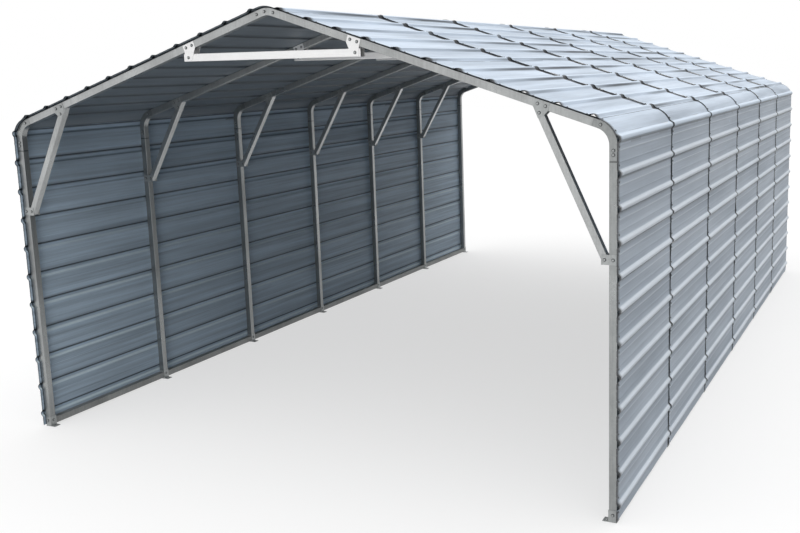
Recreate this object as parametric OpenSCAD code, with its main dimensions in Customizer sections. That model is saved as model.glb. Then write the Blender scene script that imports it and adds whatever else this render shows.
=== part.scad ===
// Open-ended metal carport: bent square-tube frames clad in ribbed sheets.
// X runs across the bay, Y along it with the open front towards -Y, Z up.
// The origin is on the ground in the middle of the plan.

/* [Plan] */
// Width over the outer faces of the posts
frame_w = 5486; // [4000:1:7000]
// Spacing of the frames along the length
bay = 1524; // [1000:1:2000]
// Number of bays between the two end frames
bays = 6; // [2:1:8]

/* [Height] */
// Height of the corner where the outer faces of post and rafter would meet
eave_h = 2800; // [2200:1:3600]
// Slope of the roof in degrees
roof_slope = 18; // [12:0.5:26]

/* [Tube] */
// Side of the square tube
tube = 60; // [50:1:76]
// Wall thickness of the tube
tube_wall = 2; // [1.5:0.1:3]
// Outer corner radius of the tube
tube_corner = 5; // [4:0.5:8]
// Outer radius of the eave bend
eave_r = 180; // [150:1:260]
// Outer radius of the ridge bend
ridge_r = 200; // [150:1:300]
// Straight leg of the eave bend on the post side
eave_leg_post = 110; // [60:1:200]
// Straight leg of the eave bend on the rafter side
eave_leg_roof = 42; // [30:1:150]
// Open joint between two tubes
joint_gap = 1.5; // [0.5:0.1:3]
// Length of the reduced end that slips into the next tube
spigot_l = 70; // [40:1:120]
// Play on each side of that reduced end
spigot_gap = 0.4; // [0.2:0.1:0.8]

/* [Braces] */
// Width of a knee brace, seen from the front
knee_w = 50; // [40:1:60]
// Drop from the eave corner to the lower bolt of the front left knee brace
left_knee_drop = 780; // [500:1:1200]
// The same drop of the front right knee brace
right_knee_drop = 905; // [500:1:1200]
// The same drop of the knee braces of the inner frames
inner_knee_drop = 650; // [500:1:1200]
// Reach from the outer face of the post to the upper bolt of a front knee brace
front_knee_reach = 550; // [400:1:900]
// The same reach of the knee braces of the inner frames
inner_knee_reach = 515; // [400:1:900]
// Distance of each knee brace bolt from the tube that it stands on
knee_pin = 30; // [28:1:50]
// Half the length of the peak brace
peak_half = 810; // [500:1:1200]
// Clear height between the end of the peak brace and the rafter
peak_gap = 10; // [6:1:30]
// Thickness of the cheek plates
cheek_t = 3; // [2:0.5:5]
// Length of a cheek plate along the rafter
cheek_l = 112; // [90:1:150]
// Height of the cheek plate on the post
cheek_h = 70; // [50:1:100]
// Margin from a cheek plate to the edge of its tube
cheek_edge = 6; // [4:1:12]

/* [Feet] */
// Thickness of the base plate
base_t = 5; // [4:1:10]
// Length of the base plate inside the post
flange = 44; // [36:1:70]
// Height of the shoe around the post
shoe_h = 90; // [60:1:140]
// Thickness of the shoe walls
shoe_t = 3; // [2:0.5:5]
// Radius of the anchor hole
anchor_r = 7; // [5:0.5:10]
// Height of the base rail above the ground
rail_z = 14; // [8:1:40]

/* [Sheets] */
// Thickness of the sheet
sheet_t = 0.6; // [0.5:0.1:1]
// Height of a rib
rib_h = 20; // [14:1:26]
// Width of a rib at its base
rib_base = 60; // [48:1:72]
// Width of a rib at its crown
rib_crown = 20; // [14:1:30]
// Height of the shallow swages between the ribs
swage_h = 2; // [1:0.5:4]
// Width of a swage
swage_w = 16; // [12:1:24]
// Swages between two ribs
swages = 2; // [0:1:3]
// Ribs on each roof slope
roof_ribs = 11; // [7:1:15]
// Ribs on the left wall
left_ribs = 11; // [8:1:15]
// Ribs on the right wall
right_ribs = 12; // [8:1:15]
// Rib at which the upper and the lower sheet of a face lap
lap_rib = 5; // [3:1:6]
// Height of the lowest wall rib
low_rib_z = 125; // [90:1:200]
// Height of the lower edge of the wall sheets
sheet_z = 14; // [8:1:40]
// Overhang of the sheets past the end frames
overhang = 30; // [0:1:120]
// Lap of the sheets of two bays over a frame
end_lap = 50; // [30:1:56]
// Flat lip past the rib where a sheet laps over the next one
lap_lip = 14; // [8:1:24]

/* [Hidden] */

$fn = 48;
// Clearance between two pieces that are seated on each other
seat = 0.3;
// Step from one sheet to the sheet that laps over it
layer = sheet_t + seat;
half_w = frame_w/2;
frame_y = [for (i = [0:bays]) (i - bays/2)*bay];

// The outer line of a frame, right half: ridge arc, roof, eave arc, wall
apex = [0, eave_h + half_w*tan(roof_slope)];
roof_dir = [cos(roof_slope), -sin(roof_slope)];
roof_out = [sin(roof_slope), cos(roof_slope)];
eave_turn = 90 - roof_slope;
eave_tan = eave_r*tan(eave_turn/2);
eave_c = [half_w - eave_r, eave_h - eave_tan];
ridge_tan = ridge_r*tan(roof_slope);
ridge_c = [0, apex[1] - ridge_r/cos(roof_slope)];
slope_l = half_w/cos(roof_slope);
arc_per_degree = PI/180;

// The same line unrolled, measured down from the ridge
roof_s = ridge_r*roof_slope*arc_per_degree;
eave_s = roof_s + slope_l - ridge_tan - eave_tan;
wall_s = eave_s + eave_r*eave_turn*arc_per_degree;
bottom_s = wall_s + eave_c[1] - sheet_z;

// Places along the frame
post_x = half_w - tube/2;
inner_x = half_w - tube;
post_top = eave_c[1] - eave_leg_post;
rafter_end = slope_l - eave_tan - eave_leg_roof;
gap_angle = joint_gap/(ridge_r - tube/2)/arc_per_degree;
spigot_angle = spigot_l/2/(ridge_r - tube/2)/arc_per_degree;
collar_l = 3;
collar_angle = collar_l/(ridge_r - tube/2)/arc_per_degree;
leg_set = 0.2;
leg_bore = tube - 2*tube_wall + 2*leg_set;
spigot = tube - 2*tube_wall - 2*spigot_gap;
spigot_corner = tube_corner - tube_wall - spigot_gap;

// A point on the roof line of a frame: s down from the apex, h out from it
function on_roof(s, h) = apex + roof_dir*s + roof_out*h;

// Height of the underside of the rafter over a point across the bay
function under_rafter(x) = apex[1] - x*tan(roof_slope) - tube/cos(roof_slope);

// A knee brace is given by its drop and reach, and runs from its lower to its upper bolt
left_knee = [left_knee_drop, front_knee_reach];
right_knee = [right_knee_drop, front_knee_reach];
inner_knee = [inner_knee_drop, inner_knee_reach];
function knee_low(knee) = [inner_x - knee_pin, eave_h - knee[0]];
function knee_high(knee) = [half_w - knee[1], under_rafter(half_w - knee[1]) - knee_pin];
function knee_dir(knee) =
    let (way = knee_high(knee) - knee_low(knee))
    way/norm(way);

// The peak brace and the bolt near its end
peak_z = under_rafter(peak_half) - tube/2 - peak_gap;
peak_pin_x = peak_half - 0.75*tube;
peak_s = peak_pin_x/cos(roof_slope);

// Seats of the feet and rails
cheek_y = tube/2 + shoe_t + seat;
anchor_x = inner_x - shoe_t - flange/2;
rail_clear = cheek_y + seat;

// Places of the ribs along the unrolled line
last_roof_rib = eave_s - rib_base/2 - lap_lip - collar_l;
first_wall_rib = wall_s - rib_base/2 - lap_lip;
last_wall_rib = wall_s + eave_c[1] - low_rib_z;
roof_step = last_roof_rib/(roof_ribs - 0.5);

function roof_rib(k) = (k + 0.5)*roof_step;
function wall_rib(k, count) = first_wall_rib + (last_wall_rib - first_wall_rib)*k/(count - 1);

// Point of the unrolled line in the frame's plane, and the way out from it
function line_angle(s) =
    s < roof_s ? 90 - s/ridge_r/arc_per_degree :
    s < eave_s ? eave_turn :
    s < wall_s ? eave_turn - (s - eave_s)/eave_r/arc_per_degree : 0;
function line_out(s) = [cos(line_angle(s)), sin(line_angle(s))];
function line_point(s) =
    s < roof_s ? ridge_c + ridge_r*line_out(s) :
    s < eave_s ? on_roof(s - roof_s + ridge_tan, 0) :
    s < wall_s ? eave_c + eave_r*line_out(s) :
    [half_w, eave_c[1] - (s - wall_s)];

// Solid outline of a box section
module box_outline(w, d, corner) {
    square([w - 2*corner, d], center = true);
    square([w, d - 2*corner], center = true);
    for (sx = [-1, 1], sy = [-1, 1])
        translate([sx*(w/2 - corner), sy*(d/2 - corner)])
            circle(r = corner);
}

// Hollow box section of the frame tube, w wide in the frame's plane
module box_section(w) {
    difference() {
        box_outline(w, tube, tube_corner);
        box_outline(w - 2*tube_wall, tube - 2*tube_wall, tube_corner - tube_wall);
    }
}

// Reduced section of a tube end that slips into the next tube
module spigot_section() {
    difference() {
        box_outline(spigot, spigot, spigot_corner);
        square(spigot - 2*tube_wall, center = true);
    }
}

// Ring inside the tube that holds the reduced end
module collar_section() {
    difference() {
        box_outline(tube - tube_wall, tube - tube_wall, tube_corner - tube_wall/2);
        square(spigot - tube_wall, center = true);
    }
}

// A section carried straight between two points of the frame's plane
module run(from, to) {
    way = to - from;
    translate([from[0], 0, from[1]])
        rotate([0, atan2(way[0], way[1]), 0])
            linear_extrude(norm(way))
                children();
}

// A section carried round the origin in the frame's plane
module bend(radius, from, to) {
    rotate([90, 0, 0])
        rotate([0, 0, from])
            rotate_extrude(angle = to - from)
                translate([radius, 0])
                    children();
}

// A flat outline of the frame's plane given thickness along Y from y0 to y1
module plate(y0, y1) {
    translate([0, y1, 0])
        rotate([90, 0, 0])
            linear_extrude(y1 - y0)
                children();
}

// One copy at every frame
module at_frames() {
    for (y = frame_y)
        translate([0, y, 0])
            children();
}

// One copy at the front frame, and one at every frame between the end frames
module at_front_frame() {
    translate([0, frame_y[0], 0])
        children();
}
module at_inner_frames() {
    for (i = [1:bays - 1])
        translate([0, frame_y[i], 0])
            children();
}

// The left-hand copy of a right-hand piece
module left() {
    mirror([1, 0, 0])
        children();
}

module post() {
    run([post_x, base_t], [post_x, post_top])
        box_section(tube);
}

// Section of a straight leg, whose faces lie just inside those of the bend
module leg_section() {
    difference() {
        box_outline(tube - 2*leg_set, tube - 2*leg_set, tube_corner - leg_set);
        box_outline(leg_bore, leg_bore, tube_corner - tube_wall);
    }
}

// Straight tube along Z, let into a bend, with a reduced end past its length
module spigot_leg(length) {
    translate([0, 0, -collar_l])
        linear_extrude(length + collar_l)
            leg_section();
    translate([0, 0, length - 1.5*collar_l])
        linear_extrude(collar_l)
            collar_section();
    translate([0, 0, length - collar_l])
        linear_extrude(collar_l + spigot_l)
            spigot_section();
}

// The eave bend has a straight leg and a reduced end on either side
module eave_bend() {
    radius = eave_r - tube/2;
    translate([eave_c[0], 0, eave_c[1]]) {
        bend(radius, 0, eave_turn)
            box_section(tube);
        translate([radius, 0, 0])
            rotate([180, 0, 0])
                spigot_leg(eave_leg_post - joint_gap);
        rotate([0, -eave_turn, 0])
            translate([radius, 0, 0])
                spigot_leg(eave_leg_roof - joint_gap);
    }
}

// A rafter is straight and bends to the level where it meets its partner
module rafter(top_angle) {
    radius = ridge_r - tube/2;
    translate([ridge_c[0], 0, ridge_c[1]]) {
        bend(radius, eave_turn, top_angle)
            box_section(tube);
        rotate([0, -eave_turn, 0])
            translate([radius, 0, 0])
                rotate([180, 0, 0])
                    linear_extrude(rafter_end - ridge_tan)
                        box_section(tube);
    }
}

// The reduced upper end of one rafter follows the bend into the other
module ridge_spigot() {
    radius = ridge_r - tube/2;
    translate([ridge_c[0], 0, ridge_c[1]]) {
        bend(radius, 90 - 1.5*collar_angle, 90 - collar_angle/2)
            collar_section();
        bend(radius, 90 - collar_angle, 90 + spigot_angle)
            spigot_section();
    }
}

// Space between post and rafter, over the lower edge z, that a knee brace is cut to
module knee_space(z) {
    plate(-tube, tube)
        polygon([
            [0, z],
            [inner_x - seat, z],
            [inner_x - seat, under_rafter(inner_x) - seat],
            [0, under_rafter(0) - seat]
        ]);
}

module knee_brace(knee) {
    spare = knee_dir(knee)*2*tube;
    intersection() {
        run(knee_low(knee) - spare, knee_high(knee) + spare)
            box_section(knee_w);
        knee_space(knee_low(knee)[1] - cheek_h/2 + cheek_edge);
    }
}

// A pair of cheek plates, one on either face of a frame
module cheeks() {
    face = tube/2 + seat;
    plate(-face - cheek_t, -face)
        children();
    plate(face, face + cheek_t)
        children();
}

// Outline that covers the rafter at s and narrows to two points of the brace below
module rafter_cheek(s, low_in, low_out) {
    polygon([
        on_roof(s - cheek_l/2, -cheek_edge),
        on_roof(s + cheek_l/2, -cheek_edge),
        on_roof(s + cheek_l/2, -tube),
        low_out,
        low_in,
        on_roof(s - cheek_l/2, -tube)
    ]);
}

module knee_top_plates(knee) {
    way = knee_dir(knee);
    half = [way[1], -way[0]]*knee_w/2;
    tab = knee_high(knee) - way*knee_pin;
    cheeks()
        rafter_cheek((knee_high(knee) - apex)*roof_dir, tab - half, tab + half);
}

module knee_foot_plates(knee) {
    reach = knee_pin + knee_w/2;
    cheeks()
        translate([inner_x - reach, knee_low(knee)[1] - cheek_h/2])
            square([tube - cheek_edge + reach, cheek_h]);
}

module peak_plates() {
    tab_z = peak_z - tube/2 + tube_corner;
    cheeks()
        rafter_cheek(peak_s, [peak_pin_x - tube/2, tab_z], [peak_pin_x + tube/2, tab_z]);
}

module peak_brace() {
    run([-peak_half, peak_z], [peak_half, peak_z])
        box_section(tube);
}

// Base plate with an anchor hole, and a shoe on three sides of the post
module foot() {
    difference() {
        union() {
            translate([inner_x - shoe_t - flange, -cheek_y, 0])
                cube([tube + shoe_t + flange, 2*cheek_y, base_t]);
            translate([inner_x - shoe_t - seat, -cheek_y, 0])
                cube([tube + shoe_t - cheek_edge, 2*cheek_y, shoe_h]);
        }
        translate([inner_x - seat, -tube/2 - seat, base_t])
            cube([2*tube, tube + 2*seat, shoe_h]);
        translate([anchor_x, 0, -base_t])
            cylinder(h = 3*base_t, r = anchor_r);
    }
}

module base_rails() {
    for (b = [0:bays - 1])
        translate([post_x, frame_y[b] + rail_clear, rail_z + tube/2])
            rotate([-90, 0, 0])
                linear_extrude(bay - 2*rail_clear)
                    box_section(tube);
}

// Sheet outlines are lists of [s, h]: s along the unrolled line, h out from it
function rib(s) = [
    [s - rib_base/2, 0],
    [s - rib_crown/2, rib_h],
    [s + rib_crown/2, rib_h],
    [s + rib_base/2, 0]
];
function swage(s) = [[s - swage_w/2, 0], [s, swage_h], [s + swage_w/2, 0]];
function pan(s0, s1) = [
    for (k = [1:1:swages])
        each swage(s0 + (s1 - s0)*k/(swages + 1))
];

// Ribs and pans from the first place of a list up to the last rib, left out
function ribbed(places) = [
    for (k = [0:len(places) - 2])
        each concat(rib(places[k]), pan(places[k], places[k + 1]))
];

// The rib and lip that lie over the first rib of the next sheet
function lap(s) = concat(rib(s), [[s + rib_base/2 + lap_lip, 0]]);

// Flat points along an arc of the line, its far end left out
function arc_points(s0, s1, steps) = [
    for (k = [0:steps - 1])
        [s0 + (s1 - s0)*k/steps, 0]
];

// Unit normal to the left of a step, and the mitred way out at a corner of a line
function step_out(a, b) = [a[1] - b[1], b[0] - a[0]]/norm(b - a);
function corner_out(line, i) =
    let (last = len(line) - 1)
    let (before = step_out(line[max(i - 1, 0)], line[max(i, 1)]))
    let (after = step_out(line[min(i, last - 1)], line[min(i + 1, last)]))
    (before + after)/(1 + before*after);
function moved_out(line, steps) = [
    for (i = [0:len(line) - 1])
        line[i] + corner_out(line, i)*steps[i]
];
function reversed(list) = [for (i = [len(list) - 1:-1:0]) list[i]];
function mapped(outline) = [for (q = outline) line_point(q[0]) + line_out(q[0])*q[1]];

// Sheets of all bays: plain points lie on the frame, lapping points one layer out.
// Every second bay lies two layers further out, over its neighbours' ends.
module sheets(line, laps) {
    last = bays - 1;
    for (b = [0:last]) {
        y0 = b == 0 ? frame_y[0] - tube/2 - overhang : frame_y[b] - end_lap/2;
        y1 = b == last ? frame_y[bays] + tube/2 + overhang : frame_y[b + 1] + end_lap/2;
        inner = [for (n = laps) seat + layer*(n + 2*(b % 2))];
        outer = [for (d = inner) d + sheet_t];
        plate(y0, y1)
            polygon(concat(moved_out(line, inner), reversed(moved_out(line, outer))));
    }
}

// A sheet that starts with a lip under the sheet above it, and whose lapping
// points lie over the next sheet down
module lapped_sheets(plain, lapping) {
    lip = [plain[0][0] - lap_lip/2, 0];
    laps = concat([0], [for (q = plain) 0], [for (q = lapping) 1]);
    sheets(mapped(concat([lip], plain, lapping)), laps);
}

module upper_roof_sheets() {
    lapped_sheets(
        ribbed([for (k = [0:lap_rib]) roof_rib(k)]),
        lap(roof_rib(lap_rib))
    );
}

module lower_roof_sheets() {
    lapped_sheets(
        ribbed([for (k = [lap_rib:roof_ribs - 1]) roof_rib(k)]),
        lap(last_roof_rib)
    );
}

module eave_sheets() {
    lap_s = first_wall_rib - rib_base/2 - lap_lip;
    curve = arc_points(eave_s, lap_s, 12);
    lapped_sheets(concat(rib(last_roof_rib), curve), concat([[lap_s, 0]], lap(first_wall_rib)));
}

module upper_wall_sheets(count) {
    below = ribbed([for (k = [1:lap_rib]) wall_rib(k, count)]);
    top = concat(rib(first_wall_rib), [[wall_s, 0]], pan(wall_s, wall_rib(1, count)));
    lapped_sheets(concat(top, below), lap(wall_rib(lap_rib, count)));
}

module lower_wall_sheets(count) {
    ribs = ribbed([for (k = [lap_rib:count - 1]) wall_rib(k, count)]);
    lapped_sheets(concat(ribs, rib(last_wall_rib), [[bottom_s, 0]]), []);
}

// Ridge caps lap over the first rib of both roof slopes
module ridge_cap_sheets() {
    curve = concat(arc_points(0, roof_s, 5), [[roof_s, 0]]);
    half = mapped(concat(curve, lap(roof_rib(0))));
    other = [for (i = [len(half) - 1:-1:1]) [-half[i][0], half[i][1]]];
    half_laps = concat([for (q = curve) 0], [for (q = lap(0)) 1]);
    other_laps = [for (i = [len(half) - 1:-1:1]) half_laps[i]];
    sheets(concat(other, half), concat(other_laps, half_laps));
}

module left_posts() color("silver") left() at_frames() post();
module right_posts() color("silver") at_frames() post();
module left_eave_bends() color("silver") left() at_frames() eave_bend();
module right_eave_bends() color("silver") at_frames() eave_bend();
module left_rafters() {
    color("silver") left() at_frames() {
        rafter(90);
        ridge_spigot();
    }
}
module right_rafters() color("silver") at_frames() rafter(90 - gap_angle);
module left_knee_braces() {
    color("lightgray") left() {
        at_front_frame() knee_brace(left_knee);
        at_inner_frames() knee_brace(inner_knee);
    }
}
module right_knee_braces() {
    color("lightgray") {
        at_front_frame() knee_brace(right_knee);
        at_inner_frames() knee_brace(inner_knee);
    }
}
module left_knee_top_plates() {
    color("gainsboro") left() {
        at_front_frame() knee_top_plates(left_knee);
        at_inner_frames() knee_top_plates(inner_knee);
    }
}
module right_knee_top_plates() {
    color("gainsboro") {
        at_front_frame() knee_top_plates(right_knee);
        at_inner_frames() knee_top_plates(inner_knee);
    }
}
module left_knee_foot_plates() {
    color("gainsboro") left() {
        at_front_frame() knee_foot_plates(left_knee);
        at_inner_frames() knee_foot_plates(inner_knee);
    }
}
module right_knee_foot_plates() {
    color("gainsboro") {
        at_front_frame() knee_foot_plates(right_knee);
        at_inner_frames() knee_foot_plates(inner_knee);
    }
}
module peak_braces() color("lightgray") at_frames() peak_brace();
module left_peak_plates() color("gainsboro") left() at_frames() peak_plates();
module right_peak_plates() color("gainsboro") at_frames() peak_plates();
module left_feet() color("darkgray") left() at_frames() foot();
module right_feet() color("darkgray") at_frames() foot();
module left_base_rails() color("silver") left() base_rails();
module right_base_rails() color("silver") base_rails();
module left_lower_wall_sheets() color("lightslategray") left() lower_wall_sheets(left_ribs);
module right_lower_wall_sheets() color("lightslategray") lower_wall_sheets(right_ribs);
module left_upper_wall_sheets() color("lightslategray") left() upper_wall_sheets(left_ribs);
module right_upper_wall_sheets() color("lightslategray") upper_wall_sheets(right_ribs);
module left_eave_sheets() color("lightsteelblue") left() eave_sheets();
module right_eave_sheets() color("lightsteelblue") eave_sheets();
module left_lower_roof_sheets() color("lightsteelblue") left() lower_roof_sheets();
module right_lower_roof_sheets() color("lightsteelblue") lower_roof_sheets();
module left_upper_roof_sheets() color("lightsteelblue") left() upper_roof_sheets();
module right_upper_roof_sheets() color("lightsteelblue") upper_roof_sheets();
module ridge_caps() color("lightsteelblue") ridge_cap_sheets();

left_posts();
right_posts();
left_eave_bends();
right_eave_bends();
left_rafters();
right_rafters();
left_knee_braces();
right_knee_braces();
left_knee_top_plates();
right_knee_top_plates();
left_knee_foot_plates();
right_knee_foot_plates();
peak_braces();
left_peak_plates();
right_peak_plates();
left_feet();
right_feet();
left_base_rails();
right_base_rails();
left_lower_wall_sheets();
right_lower_wall_sheets();
left_upper_wall_sheets();
right_upper_wall_sheets();
left_eave_sheets();
right_eave_sheets();
left_lower_roof_sheets();
right_lower_roof_sheets();
left_upper_roof_sheets();
right_upper_roof_sheets();
ridge_caps();
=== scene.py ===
import math
import bpy
import numpy as np
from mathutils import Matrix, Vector


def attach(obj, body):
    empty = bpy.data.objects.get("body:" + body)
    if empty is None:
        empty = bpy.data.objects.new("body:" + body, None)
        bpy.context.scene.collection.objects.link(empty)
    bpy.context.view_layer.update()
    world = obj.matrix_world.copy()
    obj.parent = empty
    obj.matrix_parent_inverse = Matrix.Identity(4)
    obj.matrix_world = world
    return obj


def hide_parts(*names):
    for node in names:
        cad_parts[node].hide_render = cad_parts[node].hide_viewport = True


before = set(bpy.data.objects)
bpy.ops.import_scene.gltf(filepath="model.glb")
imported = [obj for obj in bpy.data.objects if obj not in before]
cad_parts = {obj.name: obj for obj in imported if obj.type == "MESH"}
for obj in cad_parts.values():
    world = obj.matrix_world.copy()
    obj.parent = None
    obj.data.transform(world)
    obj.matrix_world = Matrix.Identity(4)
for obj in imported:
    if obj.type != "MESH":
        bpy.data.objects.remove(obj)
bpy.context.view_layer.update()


# Tube frames.
# Seven bent frames of square galvanized tube: posts, eave bends, rafters and
# braces, slipped over spigots and held with hex bolts. The zinc is grey with a
# fine spangle and faint rub marks along the tubes. Its tone is set lighter on
# the rafters and knee braces and darker on the base rails as painted light and
# shade, and the peak braces are near white as a painted highlight.
half_w, eave_h = 2.743, 2.800
slope = math.radians(18.0)
eave_r, eave_leg = 0.180, 0.110
eave_x = half_w - eave_r
eave_z = round(eave_h - eave_r * (1 - math.sin(slope)) / math.cos(slope), 5)
post_top = round(eave_z - eave_leg, 4)


def link(nodes, source, output, target, socket):
    """Join an output socket of one node to an input socket of another."""
    nodes.id_data.links.new(source.outputs[output], target.inputs[socket])


def new_material(name):
    """An empty node material: its node list, its surface shader and the object coordinates."""
    material = bpy.data.materials.new(name)
    material.use_nodes = True
    nodes = material.node_tree.nodes
    shader = nodes["Principled BSDF"]
    place = nodes.new("ShaderNodeTexCoord")
    return material, nodes, shader, place


def stretched(nodes, place, scale):
    """Object coordinates stretched by a scale for each axis."""
    mapping = nodes.new("ShaderNodeMapping")
    mapping.inputs["Scale"].default_value = scale
    link(nodes, place, "Object", mapping, "Vector")
    return mapping


def noise(nodes, vector, scale, detail):
    """Fractal noise on a vector, about 0.5 in the middle."""
    tex = nodes.new("ShaderNodeTexNoise")
    tex.inputs["Scale"].default_value = scale
    tex.inputs["Detail"].default_value = detail
    tex.inputs["Roughness"].default_value = 0.55
    link(nodes, vector, "Vector", tex, "Vector")
    return tex


def ramp(nodes, source, output, stops):
    """Colour ramp with stops of position and grey or colour."""
    node = nodes.new("ShaderNodeValToRGB")
    ends = node.color_ramp.elements
    while len(ends) < len(stops):
        ends.new(0.5)
    for end, (position, colour) in zip(ends, stops):
        end.position = position
        end.color = (*colour, 1.0) if hasattr(colour, "__len__") else (colour, colour, colour, 1.0)
    link(nodes, source, output, node, "Fac")
    return node


def blend_colours(nodes, first, second, kind):
    """Mix node for two colours: its blend kind set, its first two sockets joined where given."""
    mix = nodes.new("ShaderNodeMix")
    mix.data_type = "RGBA"
    mix.blend_type = kind
    nodes.id_data.links.new(first, mix.inputs[6])
    if second is not None:
        nodes.id_data.links.new(second, mix.inputs[7])
    return mix


def multiply(nodes, first, second):
    """Two colours multiplied."""
    mix = blend_colours(nodes, first, second, "MULTIPLY")
    mix.inputs[0].default_value = 1.0
    return mix.outputs[2]


def bump(nodes, shader, height, strength, distance):
    """Bump from a height socket on the shader's normal."""
    node = nodes.new("ShaderNodeBump")
    node.inputs["Strength"].default_value = strength
    node.inputs["Distance"].default_value = distance
    nodes.id_data.links.new(height, node.inputs["Height"])
    link(nodes, node, "Normal", shader, "Normal")


def joint_grime(nodes, place, joint_z):
    """Dark line round a slip joint: grey by the distance from the joint's height."""
    line, clean, dark = 0.002, 0.006, 0.25
    parts = nodes.new("ShaderNodeSeparateXYZ")
    link(nodes, place, "Object", parts, "Vector")
    away = nodes.new("ShaderNodeMath")
    away.operation = "SUBTRACT"
    away.inputs[1].default_value = joint_z
    link(nodes, parts, "Z", away, 0)
    distance = nodes.new("ShaderNodeMath")
    distance.operation = "ABSOLUTE"
    link(nodes, away, "Value", distance, 0)
    return ramp(nodes, distance, "Value", [(line, dark), (clean, 1.0)])


def galvanized(name, tone, metallic, rough, joint_z=None, grain=(40.0, 40.0, 3.0), wear=1.0):
    """Zinc coat: tone varied by spangle cells, cloudy tarnish and rub marks along the grain,
    all as strong as the wear, with a line of grime at the height of a slip joint."""
    spangle_depth, tarnish_depth, rub_depth = 0.10 * wear, 0.20 * wear, 0.10 * wear
    material, nodes, shader, place = new_material(name)
    cells = nodes.new("ShaderNodeTexVoronoi")
    cells.inputs["Scale"].default_value = 70.0
    link(nodes, place, "Object", cells, "Vector")
    spangle = ramp(nodes, cells, "Color", [(0.0, 1.0 - spangle_depth), (1.0, 1.0)])
    cloud = noise(nodes, stretched(nodes, place, (1.0, 1.0, 0.6)), scale=3.2, detail=5.0)
    stained = [(1.0 - tarnish_depth) * t for t in tone]
    tarnish = ramp(nodes, cloud, "Fac", [(0.32, stained), (0.62, tone)])
    streak = noise(nodes, stretched(nodes, place, grain), scale=1.5, detail=4.0)
    wear_and_highlight = ramp(nodes, streak, "Fac", [(0.35, 1.0 - rub_depth), (0.60, 1.0)])
    colour = multiply(nodes, tarnish.outputs["Color"], spangle.outputs["Color"])
    colour = multiply(nodes, colour, wear_and_highlight.outputs["Color"])
    if joint_z is not None:
        grime_and_shade = joint_grime(nodes, place, joint_z)
        colour = multiply(nodes, colour, grime_and_shade.outputs["Color"])
    nodes.id_data.links.new(colour, shader.inputs["Base Color"])
    shader.inputs["Metallic"].default_value = metallic
    dull = ramp(nodes, cloud, "Fac", [(0.3, rough + 0.10), (0.7, rough - 0.06)])
    link(nodes, dull, "Color", shader, "Roughness")
    bump(nodes, shader, streak.outputs["Fac"], strength=0.12, distance=0.002)
    return material


def coat_node(node, material):
    """Lay one material on a whole node of the solid model."""
    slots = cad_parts[node].data.materials
    slots.clear()
    slots.append(material)


# One zinc at three tones: lighter on rafters and knee braces, darker on base rails, as painted light and
# shade; the near-white peak brace zinc is a painted highlight.
post_zinc = galvanized("post_zinc", (0.385, 0.40, 0.40), 0.78, 0.30, joint_z=post_top)
tube_zinc_painted_lighter = galvanized("tube_zinc_painted_lighter", (0.51, 0.525, 0.525), 0.85, 0.30)
brace_zinc_painted_highlight = galvanized("brace_zinc_painted_highlight", (0.95, 0.95, 0.95), 0.80, 0.40, grain=(3.0, 40.0, 40.0), wear=0.3)
rail_zinc_painted_shade = galvanized("rail_zinc_painted_shade", (0.34, 0.35, 0.345), 0.45, 0.40)
tube_nodes = {"posts": post_zinc, "eave_bends": post_zinc, "rafters": tube_zinc_painted_lighter, "knee_braces": tube_zinc_painted_lighter,
              "base_rails": rail_zinc_painted_shade}
for piece, zinc in tube_nodes.items():
    for side in ("left", "right"):
        coat_node(side + "_" + piece, zinc)
coat_node("peak_braces", brace_zinc_painted_highlight)


# Plates and feet.
# Flat steel cheeks at the brace ends and folded shoes under the posts, cut
# from galvanized plate and bolted on. The peak plates take the braces'
# near-white zinc, a painted highlight.
plate_zinc = galvanized("plate_zinc", (0.50, 0.52, 0.52), 0.55, 0.32)
# Peak plates in the braces' near-white zinc: a painted highlight.
plate_nodes = {"knee_top_plates": plate_zinc, "knee_foot_plates": plate_zinc, "peak_plates": brace_zinc_painted_highlight,
               "feet": plate_zinc}
for piece, zinc in plate_nodes.items():
    for side in ("left", "right"):
        coat_node(side + "_" + piece, zinc)


# Ribbed sheets.
# Roll-formed steel sheets, one bay long, with a trapezoid rib about every
# quarter metre and two shallow swages between. They are screwed to the frames
# and lap at every frame and at some ribs; the cut ends stand a little proud.
bays, bay_len = 6, 1.524
frame_y = (np.arange(bays + 1) - bays / 2) * bay_len
end_lap, end_y = 0.025, 4.632
ridge_r = 0.200
ridge_z = round(eave_z + eave_x * math.tan(slope) + (eave_r - ridge_r) / math.cos(slope), 5)
roof_s = ridge_r * slope
roof_run = (eave_x + (eave_r - ridge_r) * math.sin(slope)) / math.cos(slope)
eave_s = round(roof_s + roof_run, 4)
wall_s = eave_s + eave_r * (math.pi / 2 - slope)
sheet_z, last_rib_z = 0.014, 0.125
bottom_s = wall_s + eave_z - sheet_z

sheet_t, layer, seat = 0.0006, 0.0009, 0.0003
rib_h, rib_base, rib_crown = 0.020, 0.060, 0.020
rib_edge = rib_base / 2
swage_h, swage_w = 0.0022, 0.016
lap_lip, lap_rib, eave_clear = 0.014, 5, 0.003
roof_ribs, left_ribs, right_ribs = 11, 11, 12
first_seed, ridge_seed, sheet_seeds, side_seeds, bay_seeds = 1000, 2000, 100, 50, 10

last_roof = eave_s - rib_edge - lap_lip - eave_clear
first_wall = wall_s - rib_edge - lap_lip
last_wall = wall_s + eave_z - last_rib_z
roof_places = (np.arange(roof_ribs) + 0.5) * last_roof / (roof_ribs - 0.5)
left_places = np.linspace(first_wall, last_wall, left_ribs)
right_places = np.linspace(first_wall, last_wall, right_ribs)

across_rib = np.array([-34, -30, -26, -20, -14, -10, -6, 0, 6, 10, 14, 20, 26, 30, 34]) / 1000
across_swage = np.array([-8, -4, 0, 4, 8]) / 1000
front_steps = np.array([0, 4, 10, 20, 34, 52, 85]) / 1000
rear_steps = np.array([135, 115, 85, 52, 0]) / 1000


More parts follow.
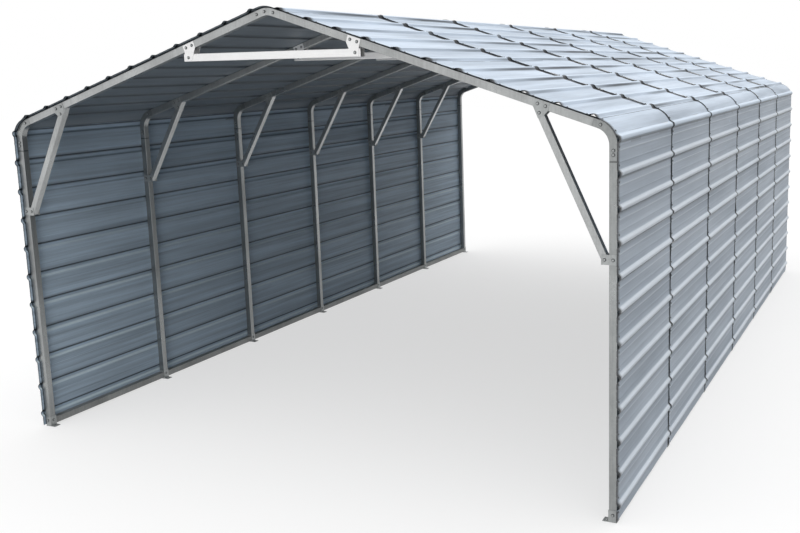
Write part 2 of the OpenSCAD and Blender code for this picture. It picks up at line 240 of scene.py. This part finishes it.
def on_line(s, h):
    """Point of the bent frame's outline at signed length s from the ridge, h outside it:
    ridge arc, straight rafter, eave arc, straight post, mirrored for negative s."""
    a = np.abs(s)
    turn = np.select(
        [a < roof_s, a < eave_s, a < wall_s],
        [a / ridge_r, np.full_like(a, slope), slope + (a - eave_s) / eave_r],
        np.pi / 2)
    x = np.select(
        [a < roof_s, a < eave_s, a < wall_s],
        [ridge_r * np.sin(turn),
         ridge_r * math.sin(slope) + (a - roof_s) * math.cos(slope),
         eave_x + eave_r * np.sin(turn)],
        half_w)
    z = np.select(
        [a < roof_s, a < eave_s, a < wall_s],
        [ridge_z + ridge_r * np.cos(turn),
         ridge_z + ridge_r * math.cos(slope) - (a - roof_s) * math.sin(slope),
         eave_z + eave_r * np.cos(turn)],
        eave_z - (a - wall_s))
    return np.sign(s) * (x + h * np.sin(turn)), z + h * np.cos(turn)


def nearest(a, lines):
    """Distance from each length to the nearest of some lines, 1 m where there is none."""
    return np.abs(a[:, None] - lines[None, :]).min(axis=1, initial=1.0)


def rib_shape(a, places, swages):
    """Height of ribs and swages: a trapezoid averaged over a short width to round its
    bends, and a raised cosine for each swage."""
    def trapezoid(d):
        return np.clip((rib_edge - np.abs(d)) / ((rib_base - rib_crown) / 2), 0, 1)
    soft = 0.0045
    d = nearest(a, places)
    ribs = (trapezoid(d - soft) + 2 * trapezoid(d) + trapezoid(d + soft)) / 4
    swage = swage_h * np.cos(np.clip(nearest(a, swages) / swage_w, 0, 0.5) * np.pi) ** 2
    return rib_h * ribs + swage


def ripple(seed, a, y, length_a, length_y=1.0):
    """Smooth unevenness between about -1 and 1: four crossed sine waves with phases
    drawn from a seed."""
    waves, slowest, fastest, usual_peak = 4, 0.6, 1.5, 2.2
    draw = np.random.default_rng(seed)
    total = 0.0
    for _ in range(waves):
        rate_a, rate_y = draw.uniform(slowest, fastest, 2)
        phase_a, phase_y = draw.uniform(0, 2 * np.pi, 2)
        along_a = np.sin(a * rate_a * 2 * np.pi / length_a + phase_a)
        total = total + along_a * np.sin(y * rate_y * 2 * np.pi / length_y + phase_y)
    return total / usual_peak


def end_lift(seed, a, on_rib, y, ahead):
    """How far a sheet's front end springs up, as the square of the nearness to its edge. On
    the roof the pans lift more than the ribs, on the wall the ribs a little more. Seams are
    uneven; the foremost roof edge is even and the foremost wall edge almost flat."""
    spring_len, least, unevenness = 0.085, 0.001, 0.0030
    roof_pan, roof_rib = 0.0070, -0.0055
    wall_pan, wall_rib = 0.0040, 0.0010
    foremost_pan, foremost_wall, foremost_reach = 0.0085, 0.12, 0.1
    roof = a < eave_s
    foremost = y < frame_y[0] + foremost_reach
    spring = np.clip(1 - ahead / spring_len, 0, 1) ** 2 * np.where(foremost & ~roof, foremost_wall, 1.0)
    seam = np.where(roof, roof_pan + roof_rib * on_rib, wall_pan + wall_rib * on_rib)
    seam = seam + unevenness * ripple(seed + 1, a, y=0.3, length_a=0.35)
    lift = np.where(foremost & roof, foremost_pan * (1 - on_rib), seam)
    return spring * np.clip(lift, least, None)


def sheet_offset(seed, lap_from, places, swages, a, y, share, ahead):
    """Distance of a sheet's inner face outside the frame at length a, place y and share of
    the bay: seat and lap layer, ribs and swages, the slant that lays the front end over the
    sheet before it, the lift of that end, and a slight bulging of the flat pans."""
    lap_rise, bulge_h, bulge_rise = 0.004, 0.0014, 12
    shape = rib_shape(a, places, swages)
    on_rib = np.clip(shape / rib_h, 0, 1)
    lapping = np.clip((a - lap_from + lap_rise) / lap_rise, 0, 1)
    slant = 2 * layer * (1 - share)
    bulge = bulge_h * ripple(seed + 2, a, y, length_a=0.42, length_y=0.75)
    bulge = bulge * np.clip(share * (1 - share) * bulge_rise, 0, 1) * (1 - on_rib)
    return seat + layer * lapping + shape + slant + end_lift(seed, a, on_rib, y, ahead) + bulge


def bay_ends(bay):
    """Front and rear end of a bay's sheets: past the end frames, or a lap past the others."""
    front = -end_y if bay == 0 else frame_y[bay] - end_lap
    rear = end_y if bay == bays - 1 else frame_y[bay + 1] + end_lap
    return front, rear


def bay_rows(bay):
    """Places of a bay's rows of points from front to rear, close near the ends."""
    front_clear, rear_clear, middle_rows = 0.17, 0.22, 7
    front, rear = bay_ends(bay)
    middle = np.linspace(front + front_clear, rear - rear_clear, middle_rows)
    return np.concatenate([front + front_steps, middle, rear - rear_steps])


def bay_points(seed, bay, s, lap_from, places, swages, steps, share, ahead):
    """Points of a bay's sheet, row by row, over the outer face and back over the inner one:
    the bent line at the sheet's offset, with a front edge that wanders a little."""
    wander_w, wander_fall = 0.006, 8
    a = np.abs(s)
    wander = wander_w * ripple(seed, a, y=0.2, length_a=0.30) * (bay > 0)
    y = steps[:, None] + wander[None, :] * (1 - share[:, None]) ** wander_fall
    offset = sheet_offset(seed, lap_from, places, swages, a, y, share[:, None], ahead[:, None])
    line = np.broadcast_to(s, y.shape)
    x_out, z_out = on_line(line, offset + sheet_t)
    x_in, z_in = on_line(line, offset)
    outer = np.stack([x_out, y, z_out], -1)
    inner = np.stack([x_in, y, z_in], -1)[:, ::-1]
    return np.concatenate([outer, inner], 1).reshape(-1, 3)


def sheet_run(start, end, places):
    """Swages at thirds between neighbouring ribs, and the lengths at which a sheet is cut
    into strips: close at ribs and swages, wide on the flats."""
    beyond, least_pan, flat_step, least_step = 0.4, 0.15, 0.035, 0.0015
    inside = places[(places > start - beyond) & (places < end + beyond)]
    pans = np.stack([inside[:-1], inside[1:]], 1)
    pans = pans[(pans[:, 1] - pans[:, 0]) > least_pan]
    pans = pans[(pans[:, 0] > eave_s) | (pans[:, 1] < eave_s)]
    swages = np.concatenate([pans @ [2 / 3, 1 / 3], pans @ [1 / 3, 2 / 3]])
    strips = np.concatenate([
        [start, end],
        (inside[:, None] + across_rib).ravel(),
        (swages[:, None] + across_swage).ravel(),
        np.arange(start, end, flat_step)])
    strips = np.unique(np.round(strips[(strips >= start) & (strips <= end)], 4))
    keep = np.concatenate([[True], np.diff(strips) > least_step])
    return swages, strips[keep]


def band(distance, reach):
    """1 on a line, falling evenly to 0 at a reach on either side of it."""
    return np.clip(1 - np.abs(distance) / reach, 0, 1)


def end_lap_dirt_and_shadow(seed, bay, a, ahead, behind):
    """Dirt and painted shadow of the end laps, varied by a ripple: fading from the
    cut front edge, in a wide band along the foremost edge, and even on the strip
    under and before the end of the sheet behind."""
    spread, strip_fade = 1.6, 0.010
    least_edge, least_strip = 0.75, 0.60
    edge_w = 0.009 if bay else 0.070
    strip_w = np.where(a < eave_s, 0.125, 0.066)
    patches = 0.5 + 0.5 * ripple(seed + 5, a, y=0.7, length_a=0.5)
    # Dirt and painted shadow along the cut edge and on the strip before the sheet behind.
    edge = np.clip(spread - spread * ahead / edge_w, 0, 1)[:, None]
    edge = edge * (least_edge + (1 - least_edge) * patches)
    strip = np.clip((strip_w - behind[:, None]) / strip_fade, 0, 1)
    strip = strip * (least_strip + (1 - least_strip) * patches)
    return edge + strip * (bay < bays - 1)


def side_lap_dirt_and_shade(a, start, end):
    """Dark lines of the side laps, dirt and painted shade, strong on the roof: on
    the sheet's lower edge unless it is at the ground, and below the rib under
    which its upper edge is tucked."""
    edge_w, tuck_w, near = 0.007, 0.010, 0.01
    roof_share, wall_share = 0.8, 0.15
    # Dirt and painted shade along the lap edges.
    lower_edge = band(a - end, edge_w) * (end < bottom_s - near)
    tucked = band(a - start - 2 * rib_edge - 1.5 * lap_lip, tuck_w) * (start > near)
    return np.where(a < eave_s, roof_share, wall_share) * (lower_edge + tucked)


def rib_foot_painted_shade(seed, a, below, share, places):
    """Painted shade at the lower foot of the ribs: on the roof in patches, a wave
    along the bay with a height and a phase drawn for each rib; on the wall an even band."""
    foot_in, foot_w, most = 0.008, 0.016, 0.85
    height, sink, swing, turns = 0.75, 0.15, 0.40, 0.7
    shade_in, shade_dark = 0.025, 0.56
    draw = np.random.default_rng(seed + 7).uniform(0, 1, (2, len(places)))
    waves = height * draw[0] - sink + swing * np.cos(2 * np.pi * (turns * share[:, None] + draw[1]))
    foot = band(a[:, None] - places - rib_edge + foot_in, foot_w)
    patches = (foot[None] * np.clip(waves, 0, most)[:, None]).max(axis=2)
    # Painted shade under the ribs: patches on the roof, an even band on the wall.
    return np.where(a < eave_s, patches, shade_dark * band(below - shade_in, foot_w))


def painted_rib_highlight(a, below, swages):
    """Painted highlights on the outer face: paler strips on each rib's upper side
    and crown, between two slopes, and on the wall on the first swage below it."""
    top, top_fade, foot, foot_fade = 0.031, 0.006, 0.013, 0.004
    swage_reach, swage_share = 0.007, 0.6
    # Painted highlight on each rib's crown and upper side, and on the first swage.
    crest = np.clip((below + top) / top_fade, 0, 1) * np.clip((foot - below) / foot_fade, 0, 1)
    first_swages = swages[:len(swages) // 2]
    pressed = swage_share * band(nearest(a, first_swages), swage_reach) * (a > wall_s)
    return np.maximum(crest, pressed)


def lining_painted_shade(bay, a, below, ahead):
    """Painted shade on the inner face: dark lines along both flanks of the ribs, the
    lower one fading down the wall, and two lines across the front rim of the
    foremost sheets."""
    flank, upper_w, lower_w, fade_len = 0.024, 0.016, 0.012, 1.2
    rim_w, second_rim, second_w = 0.012, 0.034, 0.016
    upper_dark, lower_dark, rim_dark = 0.90, 0.65, 0.8
    upper = band(below + flank, upper_w)
    lower = band(below - flank, lower_w) * np.clip(1 - (a - wall_s) / fade_len, 0, 1)
    rim = band(ahead, rim_w) + band(ahead - second_rim, second_w)
    # Painted shade in the rib hollows and along the front rim.
    lines = upper_dark * upper + lower_dark * lower
    return np.clip(lines + rim_dark * rim[:, None] * (bay == 0), 0, 1)


def lining_painted_glint(a, below):
    """Painted glints on the inner face: each rib's lower flank, growing down the wall."""
    flank, flank_w, grow_from, grow_len = 0.020, 0.014, 0.5, 0.9
    # Painted glint on the lower flank of each rib hollow.
    return band(below - flank, flank_w) * np.clip((a - wall_s - grow_from) / grow_len, 0, 1)


def shell_faces(first, rows, across):
    """Faces of a sheet whose rows of points run over the outer face and back over the inner
    one: quads from row to row and a strip of quads at either end. With them, 1 for each face
    of the inner side and 0 for the others."""
    grid = first + np.arange(rows * 2 * across).reshape(rows, 2 * across)
    after = np.roll(grid, -1, axis=1)
    back = grid[:, ::-1]
    here, there = slice(0, across - 1), slice(1, across)
    sides = np.stack([grid[:-1], after[:-1], after[1:], grid[1:]], -1).reshape(-1, 4)
    front = np.stack([grid[0, here], back[0, here], back[0, there], grid[0, there]], -1)
    rear = np.stack([grid[-1, there], back[-1, there], back[-1, here], grid[-1, here]], -1)
    inside = np.zeros((rows - 1, 2 * across), int)
    inside[:, across:-1] = 1
    ends = np.zeros(2 * (across - 1), int)
    return np.concatenate([sides, front, rear]), np.concatenate([inside.ravel(), ends])


def root_piece(name, mesh):
    """A mesh as an object at the origin that rides the one body."""
    piece = bpy.data.objects.new(name, mesh)
    bpy.context.scene.collection.objects.link(piece)
    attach(piece, "root")
    return piece


def sheet_piece(node, coats, side, start, end, lap_from, places, seed):
    """Sheets of all bays as one closed mesh: the ribbed line carried along each bay, its
    outer and inner face joined round the edges, with dirt, painted shade and painted
    highlights as attributes.
    Side 0 is a sheet that lies over the ridge."""
    least_step, sharp_bend = 0.001, math.radians(48)
    swages, a = sheet_run(start, end, places)
    if side:
        s = side * a[::side]
    else:
        s = np.concatenate([-a[::-1], a])
        s = s[np.concatenate([[True], np.diff(s) > least_step])]
    a = np.abs(s)
    below = a - places[np.abs(a[:, None] - places).argmin(axis=1)]
    # Painted highlights outside and painted glints inside, for every strip.
    pale = np.concatenate([painted_rib_highlight(a, below, swages), lining_painted_glint(a, below)[::-1]])
    points, faces, inner_faces, dirt_and_shade, light = [], [], [], [], []
    for bay in range(bays):
        bay_seed = seed + bay_seeds * bay
        front, rear = bay_ends(bay)
        steps = bay_rows(bay)
        ahead, behind = steps - front, rear - steps
        share = ahead / (rear - front)
        points.append(bay_points(bay_seed, bay, s, lap_from, places, swages, steps, share, ahead))
        quads, inside = shell_faces(bay * len(points[0]), len(steps), len(s))
        faces.append(quads)
        inner_faces.append(inside)
        # Dark marks: dirt and painted shadow at the laps, painted shade under the ribs outside and in the
        # rib hollows inside.
        outer_dirt_and_shade = end_lap_dirt_and_shadow(bay_seed, bay, a, ahead, behind) + side_lap_dirt_and_shade(a, start, end)
        outer_dirt_and_shade = np.clip(outer_dirt_and_shade + rib_foot_painted_shade(bay_seed, a, below, share, places), 0, 1)
        inner_painted_shade = lining_painted_shade(bay, a, below, ahead)[:, ::-1]
        dirt_and_shade.append(np.concatenate([outer_dirt_and_shade, inner_painted_shade], 1).ravel())
        light.append(np.tile(pale, len(steps)))
    mesh = bpy.data.meshes.new(node + "_formed")
    mesh.from_pydata(np.concatenate(points), [], np.concatenate(faces))
    for coat in coats:
        mesh.materials.append(coat)
    mesh.polygons.foreach_set("material_index", np.concatenate(inner_faces).astype(np.int32))
    mesh.polygons.foreach_set("use_smooth", np.ones(len(mesh.polygons), bool))
    for label, values in (("dirt_and_painted_shade", dirt_and_shade), ("painted_rib_highlight", light)):
        attribute = mesh.attributes.new(label, "FLOAT", "POINT")
        attribute.data.foreach_set("value", np.concatenate(values).astype(np.float32))
    mesh.set_sharp_from_angle(angle=sharp_bend)
    mesh.update()
    piece = root_piece(node + "_formed", mesh)
    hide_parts(node)
    return piece


def screw_rows(side, start, end, lap_from, places, seed):
    """Places and ways of a sheet's screws: one on either side of every rib at every frame,
    standing on the outer face and pointing straight out of it."""
    beside_rib, clear, outwards = 0.056, 0.01, 1.0
    swages, _ = sheet_run(start, end, places)
    a = np.concatenate([places - beside_rib, places + beside_rib])
    a = np.sort(a[(a > start + clear) & (a < end - clear)])
    spots, ways = [], []
    for row, y in enumerate(frame_y):
        bay = min(row, bays - 1)
        front, rear = bay_ends(bay)
        ahead = y - front
        share = ahead / (rear - front)
        h = sheet_offset(seed + bay_seeds * bay, lap_from, places, swages, a, y, share, ahead)
        for sign in (side,) if side else (-1, 1):
            x, z = on_line(sign * a, h + sheet_t)
            x_out, z_out = on_line(sign * a, h + outwards)
            spots.append(np.stack([x, 0 * x + y, z], 1))
            ways.append(np.stack([x_out - x, 0 * x, z_out - z], 1))
    return np.concatenate(spots), np.concatenate(ways)


def sheet_finish(name, tone, highlight_tone, streak_dark, rough, fineness=7.0):
    """Coated sheet: long soft streaks along the rolling direction, cloudy tone, fine
    drawn lines, a paler tone for the painted highlights given by one attribute, and
    near black for the dirt and painted shade given by another."""
    grime_and_shade_tone, line_depth, cloud_depth = (0.020, 0.023, 0.027), 0.10, 0.10
    material, nodes, shader, place = new_material(name)
    streak = noise(nodes, stretched(nodes, place, (fineness, 0.45, fineness)), scale=1.0, detail=4.0)
    fine = noise(nodes, stretched(nodes, place, (130.0, 1.2, 130.0)), scale=1.0, detail=3.0)
    cloud = noise(nodes, stretched(nodes, place, (1.0, 0.7, 1.0)), scale=1.3, detail=4.0)
    dark = [streak_dark * t for t in tone]
    body = ramp(nodes, streak, "Fac", [(0.30, dark), (0.66, tone)])
    # Painted highlight: the paler tone mixed in by the highlight attribute.
    pale = nodes.new("ShaderNodeAttribute")
    pale.attribute_name = "painted_rib_highlight"
    wear_and_highlight = blend_colours(nodes, body.outputs["Color"], None, "MIX")
    nodes.id_data.links.new(pale.outputs["Fac"], wear_and_highlight.inputs[0])
    wear_and_highlight.inputs[7].default_value = (*highlight_tone, 1.0)
    lines = ramp(nodes, fine, "Fac", [(0.30, 1.0 - line_depth), (0.60, 1.0)])
    shade = ramp(nodes, cloud, "Fac", [(0.30, 1.0 - cloud_depth), (0.65, 1.0)])
    # Dirt and painted shade: near black by the dark-mark attribute.
    mark = nodes.new("ShaderNodeAttribute")
    mark.attribute_name = "dirt_and_painted_shade"
    grime_and_shade = ramp(nodes, mark, "Fac", [(0.05, 1.0), (0.80, grime_and_shade_tone)])
    colour = wear_and_highlight.outputs[2]
    for veil in (lines, shade, grime_and_shade):
        colour = multiply(nodes, colour, veil.outputs["Color"])
    nodes.id_data.links.new(colour, shader.inputs["Base Color"])
    shader.inputs["Specular IOR Level"].default_value = 0.22
    dull = ramp(nodes, streak, "Fac", [(0.3, rough + 0.08), (0.7, rough - 0.05)])
    link(nodes, dull, "Color", shader, "Roughness")
    bump(nodes, shader, streak.outputs["Fac"], strength=0.25, distance=0.004)
    return material


# The second tone of each coat is the colour of its painted highlights.
wall_coat = sheet_finish("wall_coat", (0.54, 0.625, 0.73), (0.82, 0.89, 0.97), 0.86, 0.45)
roof_coat = sheet_finish("roof_coat", (0.70, 0.81, 0.95), (0.74, 0.85, 0.98), 0.68, 0.45)
wall_lining = sheet_finish("wall_lining", (0.66, 0.82, 0.98), (0.80, 0.94, 1.0), 0.66, 0.42, fineness=18.0)
roof_lining = sheet_finish("roof_lining", (0.38, 0.45, 0.52), (0.46, 0.53, 0.60), 0.78, 0.42)
coats = {"roof_sheet": (roof_coat, roof_lining), "wall_sheet": (wall_coat, wall_lining)}

no_rib = bottom_s + 1.0
runs = []
for side, word, wall_places in ((-1, "left", left_places), (1, "right", right_places)):
    roof_lap, wall_lap = roof_places[lap_rib], wall_places[lap_rib]
    eave_places = np.concatenate([roof_places[-1:], wall_places[:1]])
    spans = [
        ("upper_roof_sheets", roof_places[0], roof_lap, roof_places, "roof_sheet"),
        ("lower_roof_sheets", roof_lap, last_roof, roof_places, "roof_sheet"),
        ("eave_sheets", last_roof, first_wall, eave_places, "roof_sheet"),
        ("upper_wall_sheets", first_wall, wall_lap, wall_places, "wall_sheet"),
        ("lower_wall_sheets", wall_lap, no_rib, wall_places, "wall_sheet")]
    for order, (label, upper, lower, places, slot) in enumerate(spans):
        start = upper - rib_edge - lap_lip / 2
        seed = first_seed + sheet_seeds * order + side_seeds * (side > 0)
        runs.append((word + "_" + label, slot, side, start, lower, places, seed))
runs.append(("ridge_caps", "roof_sheet", 0, 0.0, roof_places[0], roof_places[:1], ridge_seed))

screw_places, screw_ways = [], []
for node, slot, side, start, lower, places, seed in runs:
    end = min(lower + rib_edge + lap_lip, bottom_s)
    run = (side, start, end, lower - rib_edge, places, seed)
    piece = sheet_piece(node, coats[slot], *run)
    spots, ways = screw_rows(*run)
    screw_places.append(spots)
    screw_ways.append(ways)


# Hex heads.
# Zinc-plated hex screws with a pressed washer: small ones beside every rib at
# every frame, driven through the sheets, and larger bolts in the frame joints.
# The washers are near black as a painted shadow round each head.
tube, plate_t, plate_gap = 0.060, 0.003, 0.0003
tube_face = tube / 2
plate_face = tube_face + plate_gap + plate_t
apex_z = round(eave_h + half_w * math.tan(slope), 5)
knee_pin, foot_bolt_z = 0.030, 0.055
pair_apart, pair_in = 0.030, 0.033
peak_half, peak_gap = 0.810, 0.010


def hex_heads(name, places, ways, washer_r, hex_r, height, corners, materials):
    """One head at every place, standing along its way: a stepped profile of radius over
    height, carried round in equal corners, closed below and above."""
    sunk, least_side = 0.001, 0.1
    washer_top, hex_foot, hex_top, crown_share = 0.22, 0.30, 0.9, 0.75
    ways = ways / np.linalg.norm(ways, axis=1, keepdims=True)
    side = np.cross(ways, [0.0, 1.0, 0.0])
    flat = np.linalg.norm(side, axis=1, keepdims=True) < least_side
    side = np.where(flat, np.array([1.0, 0.0, 0.0]), side)
    side = side / np.linalg.norm(side, axis=1, keepdims=True)
    other = np.cross(ways, side)
    profile = np.array([[washer_r, -sunk], [washer_r, washer_top * height], [hex_r, hex_foot * height],
                        [hex_r, hex_top * height], [crown_share * hex_r, height]])
    angle = np.arange(corners) * 2 * np.pi / corners
    rings = len(profile)
    ring = profile[:, 0, None] * np.stack([np.cos(angle), np.sin(angle)])[:, None]
    points = (places[:, None, None]
              + ring[0][None, :, :, None] * side[:, None, None]
              + ring[1][None, :, :, None] * other[:, None, None]
              + profile[None, :, 1, None, None] * ways[:, None, None])
    count = len(places)
    index = np.arange(count * rings * corners).reshape(count, rings, corners)
    after = np.roll(index, -1, axis=2)
    walls = np.stack([index[:, :-1], after[:, :-1], after[:, 1:], index[:, 1:]], -1).reshape(-1, 4)
    caps = np.concatenate([index[:, 0, ::-1], index[:, -1]])
    mesh = bpy.data.meshes.new(name)
    mesh.from_pydata(points.reshape(-1, 3), [], walls.tolist() + caps.tolist())
    for material in materials:
        mesh.materials.append(material)
    above_washer = np.arange(rings - 1)[None, :, None] >= 2
    head = np.broadcast_to(above_washer, (count, rings - 1, corners)).ravel()
    lids = np.repeat([0, 1], count)
    mesh.polygons.foreach_set("material_index", np.concatenate([head, lids]).astype(np.int32))
    mesh.update()
    piece = root_piece(name, mesh)


def on_roof(s, h):
    """Point of the roof line: s down from the apex, h out from it."""
    x = s * math.cos(slope) + h * math.sin(slope)
    return np.array([x, apex_z - s * math.sin(slope) + h * math.cos(slope)])


def under_rafter(x):
    """Height of a rafter's lower side at a distance from the middle."""
    return apex_z - x * math.tan(slope) - tube / math.cos(slope)


def rafter_pair(s):
    """Two bolts in the rafter, on either side of a length down from the apex."""
    return [on_roof(s - pair_apart, -pair_in), on_roof(s + pair_apart, -pair_in)]


def knee_bolts(drop, reach):
    """Two bolts in the rafter and one in the brace above, one in brace and post below."""
    x = half_w - reach
    high = np.array([x, under_rafter(x) - knee_pin])
    s = high[0] * math.cos(slope) + (apex_z - high[1]) * math.sin(slope)
    z = eave_h - drop
    return rafter_pair(s) + [high, [half_w - tube - knee_pin, z], [half_w - tube / 2, z]]


screw_zinc = galvanized("screw_zinc", (0.40, 0.42, 0.44), 0.6, 0.35)
# Near-black washers: a painted shadow round each screw and bolt head.
washer_painted_shadow = galvanized("washer_painted_shadow", (0.10, 0.105, 0.11), 0.0, 0.6)
hex_heads("sheet_screws", np.concatenate(screw_places), np.concatenate(screw_ways),
          washer_r=0.0085, hex_r=0.0048, height=0.0055, corners=6,
          materials=(washer_painted_shadow, screw_zinc))

peak_x = peak_half - 0.75 * tube
peak_z = round(under_rafter(peak_half) - tube / 2 - peak_gap, 3)
every_frame = rafter_pair(peak_x / math.cos(slope)) + [[peak_x, peak_z], [half_w - tube / 2, foot_bolt_z]]
inner_knee = knee_bolts(drop=0.650, reach=0.515)
front_knees = {-1.0: knee_bolts(drop=0.780, reach=0.550), 1.0: knee_bolts(drop=0.905, reach=0.550)}
eave_bolts = [eave_s + 0.020, wall_s + 0.034, wall_s + 0.064]
ridge_bolts = {-1.0: [0.100, 0.020], 1.0: [0.073]}
bolt_places, bolt_ways = [], []
for row, y in enumerate(frame_y):
    for sign in (-1.0, 1.0):
        knee = front_knees[sign] if row == 0 else inner_knee
        plate_bolts = np.array(every_frame + (knee if row < bays else []))
        tube_bolts = np.stack(on_line(np.array(eave_bolts + ridge_bolts[sign]), -tube / 2), 1)
        for spots, face in ((plate_bolts, plate_face), (tube_bolts, tube_face)):
            for way in (-1.0, 1.0):
                side_y = np.full(len(spots), y + way * face)
                bolt_places.append(np.stack([sign * spots[:, 0], side_y, spots[:, 1]], 1))
                bolt_ways.append(np.broadcast_to([0.0, way, 0.0], (len(spots), 3)))
        bolt_places.append([[sign * (half_w - tube - plate_gap - plate_t), y, foot_bolt_z]])
        bolt_ways.append(np.array([[-sign, 0.0, 0.0]]))
hex_heads("frame_bolts", np.concatenate(bolt_places), np.concatenate(bolt_ways),
          washer_r=0.0125, hex_r=0.0078, height=0.0085, corners=12,
          materials=(washer_painted_shadow, plate_zinc))


# Floor, light and camera.
# A wide pale floor that keeps the shadow, a soft dome brightest overhead, two
# weak panels towards the left wall, and the camera at the photograph's angle.
floor_half = 60.0
floor_glow, floor_dark, floor_pale = 0.62, 0.09, 0.93
dome_low, dome_high = 0.05, 1.75


def directly_seen(nodes):
    """1 for camera and glossy rays, which see a pale studio, and 0 for the diffuse rays that
    carry its light."""
    rays = nodes.new("ShaderNodeLightPath")
    seen = nodes.new("ShaderNodeMath")
    seen.operation = "MAXIMUM"
    link(nodes, rays, "Is Camera Ray", seen, 0)
    link(nodes, rays, "Is Glossy Ray", seen, 1)
    return seen


corners = [(-1, -1), (1, -1), (1, 1), (-1, 1)]
floor_mesh = bpy.data.meshes.new("floor")
floor_mesh.from_pydata([(floor_half * x, floor_half * y, 0) for x, y in corners], [], [(0, 1, 2, 3)])
floor = bpy.data.objects.new("floor", floor_mesh)
bpy.context.scene.collection.objects.link(floor)
floor_paint, nodes, shader, place = new_material("floor_paint")
shader.inputs["Roughness"].default_value = 0.9
shader.inputs["Specular IOR Level"].default_value = 0.1
seen = directly_seen(nodes)
pale = ramp(nodes, seen, "Value", [(0.0, floor_dark), (1.0, floor_pale)])
link(nodes, pale, "Color", shader, "Base Color")
glow = nodes.new("ShaderNodeEmission")
glow_share = nodes.new("ShaderNodeMath")
glow_share.operation = "MULTIPLY"
glow_share.inputs[1].default_value = floor_glow
link(nodes, seen, "Value", glow_share, 0)
blend = nodes.new("ShaderNodeMixShader")
link(nodes, glow_share, "Value", blend, "Fac")
link(nodes, shader, 0, blend, 1)
link(nodes, glow, 0, blend, 2)
link(nodes, blend, 0, nodes["Material Output"], "Surface")
floor_mesh.materials.append(floor_paint)

world = bpy.data.worlds.new("dome")
bpy.context.scene.world = world
world.use_nodes = True
nodes = world.node_tree.nodes
background = nodes["Background"]
direction = nodes.new("ShaderNodeTexCoord")
parts = nodes.new("ShaderNodeSeparateXYZ")
link(nodes, direction, "Generated", parts, "Vector")
dome = ramp(nodes, parts, "Z", [(0.0, dome_low), (1.0, dome_high)])
choose = blend_colours(nodes, dome.outputs["Color"], None, "MIX")
link(nodes, directly_seen(nodes), "Value", choose, 0)
choose.inputs[7].default_value = (1.0, 1.0, 1.0, 1.0)
link(nodes, choose, 2, background, "Color")
background.inputs["Strength"].default_value = 1.0

for name, place, aim, size, watts in (
        ("rear_panel", (2.2, 9.5, 1.6), (-2.7, 1.5, 0.2), 3.0, 14.0),
        ("front_panel", (2.4, -13.5, 1.4), (-2.7, -1.5, 0.2), 5.0, 275.0)):
    panel = bpy.data.lights.new(name, "AREA")
    panel.size = size
    panel.energy = watts
    lamp = bpy.data.objects.new(name, panel)
    lamp.location = place
    lamp.rotation_euler = (Vector(aim) - Vector(place)).to_track_quat("-Z", "Y").to_euler()
    lamp.visible_camera = False
    lamp.visible_glossy = False
    bpy.context.scene.collection.objects.link(lamp)

camera_data = bpy.data.cameras.new("camera")
camera_data.sensor_width = 36.0
camera_data.lens = 44.54
camera_data.shift_x = -0.0947
camera_data.shift_y = -0.0287
camera_data.clip_end = 300.0
camera = bpy.data.objects.new("camera", camera_data)
camera.location = (4.5816, -10.954, 3.1994)
camera.rotation_euler = [math.radians(angle) for angle in (79.897, 1.313, 24.194)]
bpy.context.scene.collection.objects.link(camera)
bpy.context.scene.camera = camera
bpy.context.scene.view_settings.view_transform = "Standard"
